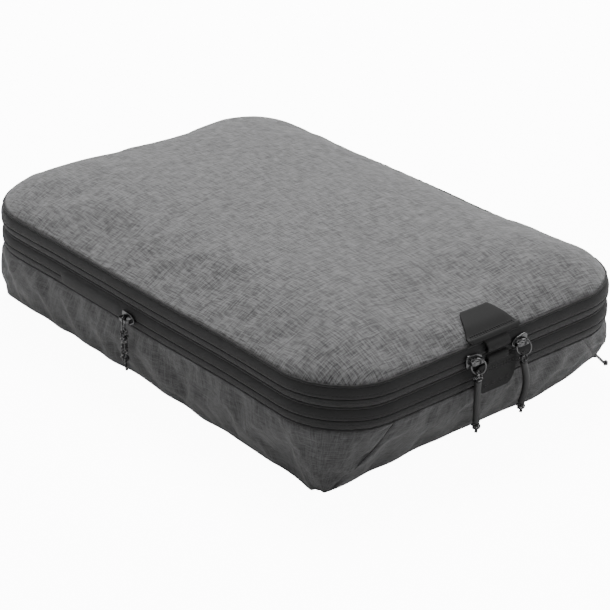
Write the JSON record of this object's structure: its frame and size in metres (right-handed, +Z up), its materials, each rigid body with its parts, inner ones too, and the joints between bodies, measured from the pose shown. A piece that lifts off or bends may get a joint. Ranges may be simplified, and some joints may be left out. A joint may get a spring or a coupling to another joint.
{
  "type": "packing cube",
  "caption": "Soft rectangular luggage packing cube with a domed zip lid, a compression zip band, tear-open front tabs, cord zip pulls and a side zip to a divided lower compartment",
  "frame": {"origin": "middle of the flat underside of the base, on the surface that the cube lies on", "axes": "+Z up, +Y along the length towards the lid's hinge at the back, -Y the front with the paired zip pulls, +X the right side with the lower zip"},
  "size_m": [0.2521, 0.3634, 0.0872],
  "materials": {
    "wall_cloth": "thin heathered ripstop weave",
    "top_cloth": "heathered crosshatch weave",
    "lining_cloth": "light coated lining",
    "zip_tape": "matt woven tape",
    "piping": "matt",
    "zip_coil": "satin nylon",
    "tab_rubber": "matt coated sheet",
    "slider_metal": "gunmetal gloss",
    "pull_cord": "braided cord with reflective flecks",
    "pull_sleeve": "matt"
  },
  "bodies": {
    "tub": {"base_panel": "wall_cloth", "right_wall_panel": "wall_cloth", "back_wall_panel": "wall_cloth", "left_wall_panel": "wall_cloth", "front_wall_panel": "wall_cloth", "divider_panel": "lining_cloth", "base_seam_binding": "zip_tape", "low_seam_piping": "piping", "compression_zip_tape_lower": "zip_tape", "compression_zip_coil_lower": "zip_coil", "compression_zip_cover": "zip_tape", "expansion_gusset": "lining_cloth", "side_zip_tape_lower": "zip_tape", "side_zip_tape_upper": "zip_tape", "side_zip_coil_lower": "zip_coil", "side_zip_coil_upper": "zip_coil"},
    "collar": {"mid_seam_binding": "piping", "compression_zip_tape_upper": "zip_tape", "compression_zip_coil_upper": "zip_coil", "main_zip_tape_lower": "zip_tape", "main_zip_coil_lower": "zip_coil", "lower_tab": "tab_rubber"},
    "lid": {"top_panel": "top_cloth", "top_seam_piping": "piping", "main_zip_tape_upper": "zip_tape", "main_zip_coil_upper": "zip_coil", "upper_tab": "tab_rubber"},
    "main_left_runner": {"main_left_slider": "slider_metal"},
    "main_left_pull": {"main_left_pull_link": "slider_metal", "main_left_pull_cord": "pull_cord", "main_left_pull_sleeve": "pull_sleeve"},
    "main_right_runner": {"main_right_slider": "slider_metal"},
    "main_right_pull": {"main_right_pull_link": "slider_metal", "main_right_pull_cord": "pull_cord", "main_right_pull_sleeve": "pull_sleeve"},
    "compression_runner": {"compression_slider": "slider_metal"},
    "compression_pull": {"compression_pull_link": "slider_metal", "compression_pull_cord": "pull_cord"},
    "side_runner": {"side_slider": "slider_metal", "side_pull_link": "slider_metal", "side_pull_head_knot": "pull_cord", "side_pull_cord": "pull_cord", "side_pull_end_knot": "pull_cord"}
  },
  "joints": [
    {"name": "collar_rise", "type": "slide", "parent": "tub", "child": "collar", "axis": [0, 0, 1], "range_m": [0, 0.04], "deforming": ["expansion_gusset"]},
    {"name": "lid_fold", "type": "hinge", "parent": "collar", "child": "lid", "pos_m": [0, 0.178, 0.0585], "axis": [-1, 0, 0], "range_deg": [0, 165]},
    {"name": "main_left_slide", "type": "slide", "parent": "collar", "child": "main_left_runner", "axis": [-1, 0, 0], "range_m": [0, 0.045]},
    {"name": "main_left_pull_swing", "type": "hinge", "parent": "main_left_runner", "child": "main_left_pull", "pos_m": [-0.0205, -0.183, 0.0585], "axis": [-1, 0, 0], "range_deg": [0, 150]},
    {"name": "main_right_slide", "type": "slide", "parent": "collar", "child": "main_right_runner", "axis": [1, 0, 0], "range_m": [0, 0.05]},
    {"name": "main_right_pull_swing", "type": "hinge", "parent": "main_right_runner", "child": "main_right_pull", "pos_m": [0.015, -0.183, 0.0585], "axis": [-1, 0, 0], "range_deg": [0, 150]},
    {"name": "compression_slide", "type": "slide", "parent": "tub", "child": "compression_runner", "axis": [0, -1, 0], "range_m": [0, 0.12]},
    {"name": "compression_pull_swing", "type": "hinge", "parent": "compression_runner", "child": "compression_pull", "pos_m": [-0.1255, 0.004, 0.0455], "axis": [0, 1, 0], "range_deg": [0, 150]},
    {"name": "side_slide", "type": "slide", "parent": "tub", "child": "side_runner", "axis": [0, 1, 0], "range_m": [0, 0.25]}
  ]
}
